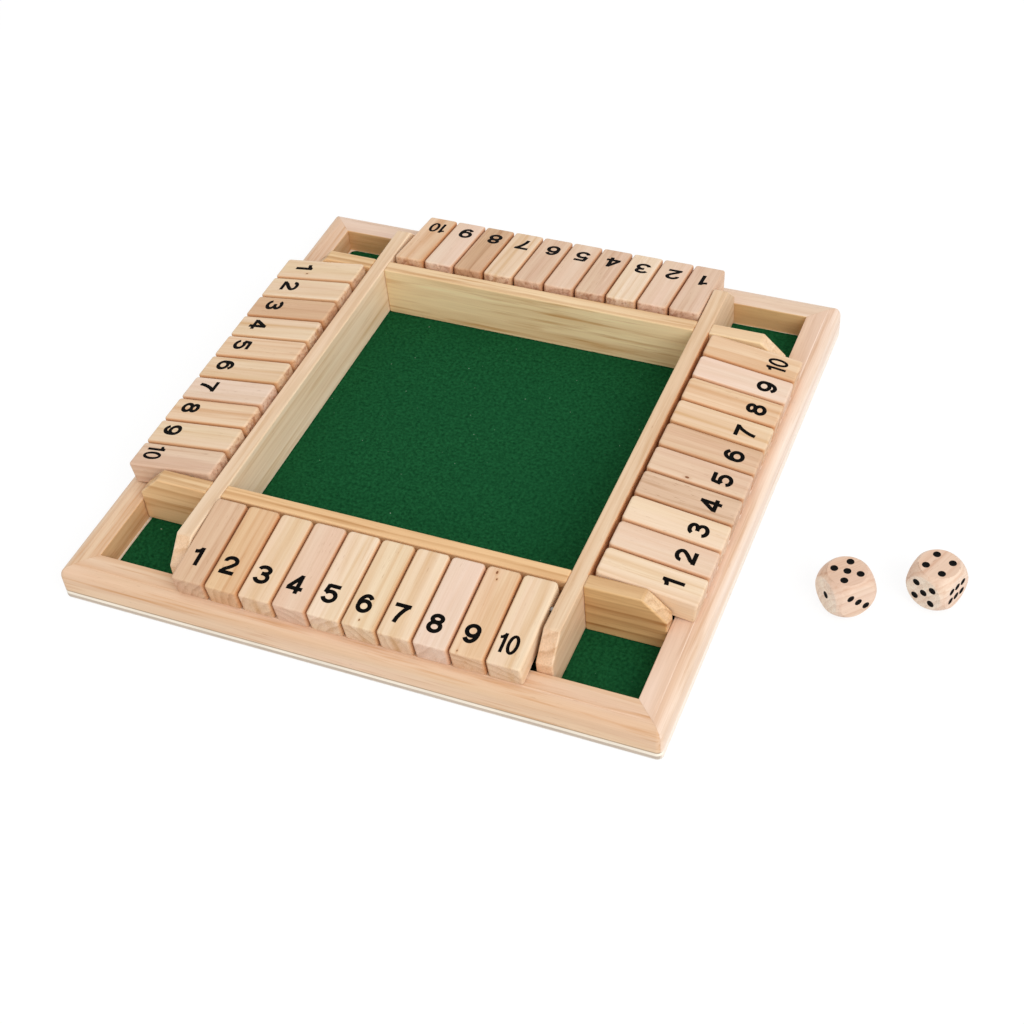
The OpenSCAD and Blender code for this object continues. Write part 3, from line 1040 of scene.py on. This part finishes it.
# %% Throw the dice
# Where each lies on the table in mm, how far it is turned, and its spots.
DICE = {
    "near": (199.4, -37.8, 45.9,
             {"top": 5, "under": 2, "left": 1, "right": 6, "front": 3, "back": 4}),
    "far": (236.8, -21.0, 67.4,
            {"top": 4, "under": 3, "left": 5, "right": 2, "front": 6, "back": 1}),
}
for name, (x, y, angle, spots) in DICE.items():
    place = shift(x * MM, y * MM, DIE_WIDE / 2) @ turn(angle)
    piece = carry(die(spots), f"wooden_die_{name}", place, (30 + x / 100, 0.026, 0.019),
                  [beech, spot_paint], "board", f"die_{name}", "beech")
    print(piece.name, len(piece.data.polygons), "faces")

# %% [markdown]
# ## Floor, light and camera
#
# The game stands on white paper. A large soft lamp up to the right gives the tops their plain
# brightness and lets the upright faces fall off by a third, and the sky fills the rest.
# The floor looks white to the camera because of its colour and a little help that only camera
# rays see, so it keeps a faint shadow.

# %% Floor
paper = bmesh.new()
bmesh.ops.create_grid(paper, x_segments=8, y_segments=8, size=4)
mesh = bpy.data.meshes.new("floor")
paper.to_mesh(mesh)
paper.free()
mesh.transform(shift(0, 0, -0.3 * MM))
floor = bpy.data.objects.new("floor", mesh)
bpy.context.scene.collection.objects.link(floor)
b = Bench("white_paper")
b.finish((0.78, 0.78, 0.78, 1), Roughness=0.9, Specular_IOR_Level=0.0)
glow = b.node("Emission", Color=(1, 1, 1, 1), Strength=1.08)
rays = b.node("LightPath").outputs
seen = b.sum("MAXIMUM", rays["Is Glossy Ray"], rays["Is Transmission Ray"])
seen = b.times(b.sum("MAXIMUM", rays["Is Camera Ray"], seen), 0.8)
mixed = b.node("MixShader", _0=seen, _1=b.shader.outputs[0], _2=glow.outputs[0])
b.tree.links.new(mixed.outputs[0], b.tree.nodes["Material Output"].inputs[0])
mesh.materials.append(b.material)
print("floor: white paper")

# %% Sky and lamp
world = bpy.data.worlds.new("studio")
bpy.context.scene.world = world
world.use_nodes = True
sky = world.node_tree
rays = sky.nodes.new("ShaderNodeLightPath")
widest = sky.nodes.new("ShaderNodeMath")
widest.operation = "MAXIMUM"
sky.links.new(rays.outputs["Is Camera Ray"], widest.inputs[0])
sky.links.new(rays.outputs["Is Glossy Ray"], widest.inputs[1])
# The sky lights the game at the first strength and is seen at the second.
level = sky.nodes.new("ShaderNodeMapRange")
level.inputs[3].default_value, level.inputs[4].default_value = 0.755, 1.0
sky.links.new(widest.outputs[0], level.inputs[0])
sky.links.new(level.outputs[0], sky.nodes["Background"].inputs["Strength"])
sky.nodes["Background"].inputs["Color"].default_value = (1, 1, 1, 1)

lamp = bpy.data.lights.new("softbox", "AREA")
lamp.shape, lamp.size, lamp.size_y, lamp.energy = "RECTANGLE", 2.0, 2.0, 42
softbox = bpy.data.objects.new("softbox", lamp)
softbox.location = (1.98, -1.29, 1.83)
softbox.rotation_euler = (Vector((0, 0, 0)) - softbox.location).to_track_quat("-Z", "Y").to_euler()
bpy.context.scene.collection.objects.link(softbox)
print("light: sky and one softbox")

# %% Camera
# Fitted to the corners of the board, the tray, the pockets and the dice in the photo.
azimuth, elevation, roll = (math.radians(angle) for angle in (26.11, 44.94, -5.74))
AIM, AWAY, FOCAL = Vector((32.97, -30.99, 0)) * MM, 834.24 * MM, 60.065
back = Vector((math.sin(azimuth) * math.cos(elevation), -math.cos(azimuth) * math.cos(elevation),
               math.sin(elevation)))
right = (-back).cross(Vector((0, 0, 1))).normalized()
up = right.cross(-back)
across_view = math.cos(roll) * right + math.sin(roll) * up
up_view = -math.sin(roll) * right + math.cos(roll) * up
lens = bpy.data.cameras.new("camera")
lens.lens, lens.sensor_width = FOCAL, 36
camera = bpy.data.objects.new("camera", lens)
camera.matrix_world = Matrix((across_view, up_view, back)).transposed().to_4x4()
camera.location = AIM + back * AWAY
bpy.context.scene.collection.objects.link(camera)
bpy.context.scene.camera = camera
bpy.context.scene.view_settings.view_transform = "Standard"
print("camera:", [round(c, 4) for c in camera.location])
